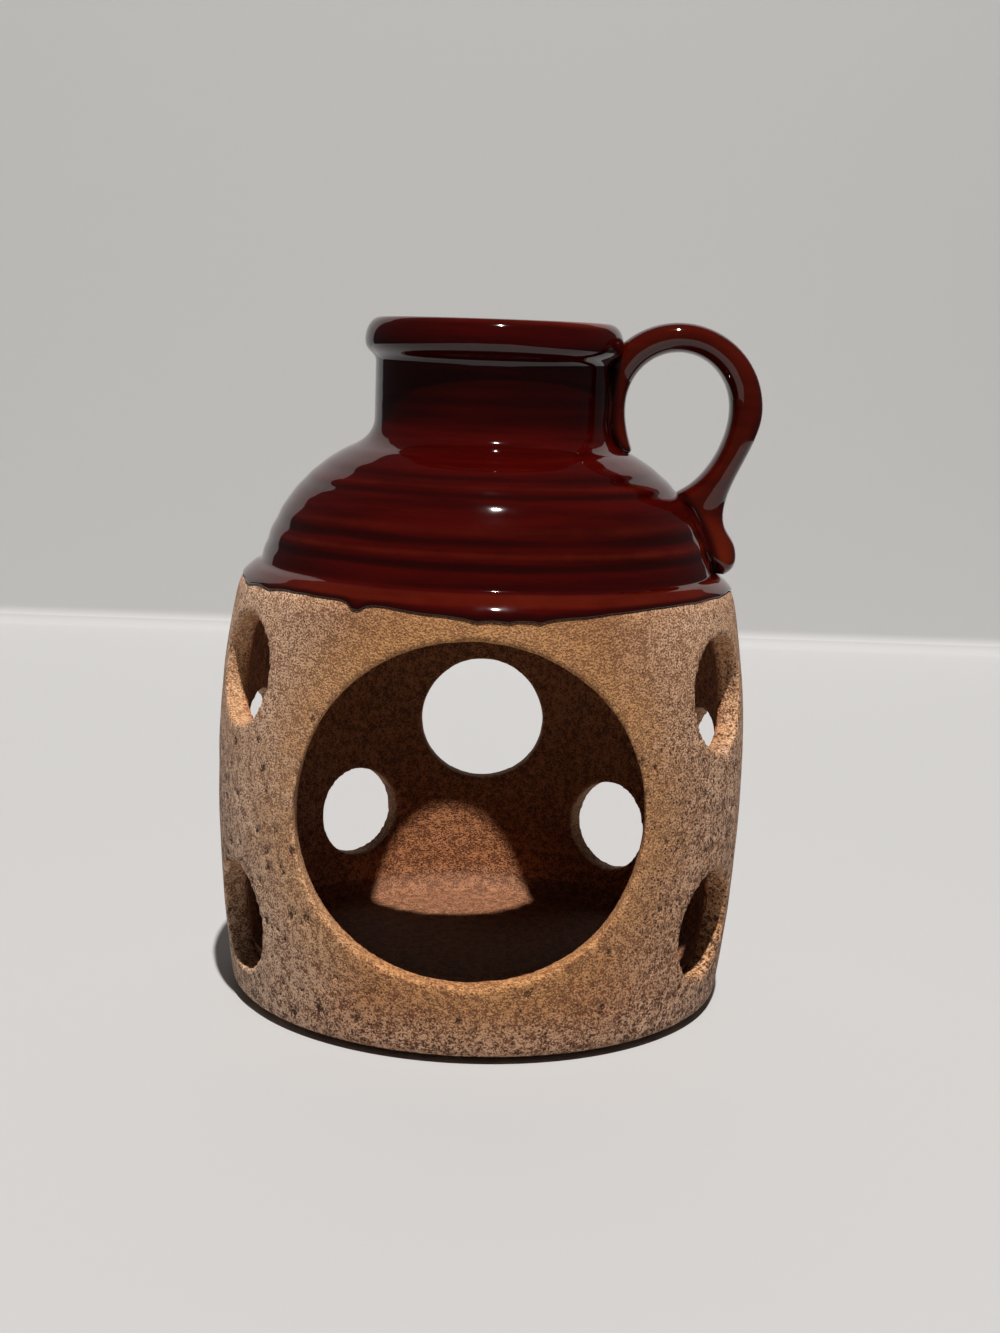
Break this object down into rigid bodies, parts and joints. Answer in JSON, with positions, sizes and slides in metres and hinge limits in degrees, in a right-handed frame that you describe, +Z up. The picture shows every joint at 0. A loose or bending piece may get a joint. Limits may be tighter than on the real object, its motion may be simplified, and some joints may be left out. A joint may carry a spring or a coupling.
{
  "type": "pierced jug vase",
  "caption": "Jug-shaped stoneware vessel: bare barrel with a round front window and smaller round openings, glossy glazed shoulder and neck, loop handle; holds a candle or a potted plant.",
  "frame": {"origin": "centre of the foot ring, on the plane it stands on", "axes": "+Z up along the jug's axis, -Y out of the large window, +X towards the handle"},
  "size_m": [0.1968, 0.1922, 0.2491],
  "materials": {
    "bare_stoneware": "unglazed tan stoneware, grainy, with brown iron specks",
    "oxblood_glaze": "glossy dark red-brown glaze that breaks amber on edges"
  },
  "bodies": {
    "root": {"pierced_wall": "bare_stoneware", "floor_disc": "bare_stoneware", "floor_corner_coil": "bare_stoneware", "shoulder_dome": "oxblood_glaze", "neck_collar": "oxblood_glaze", "rim_roll": "oxblood_glaze", "handle_upper_pad": "oxblood_glaze", "handle_lower_pad": "oxblood_glaze", "handle_strap": "oxblood_glaze"}
  },
  "joints": []
}
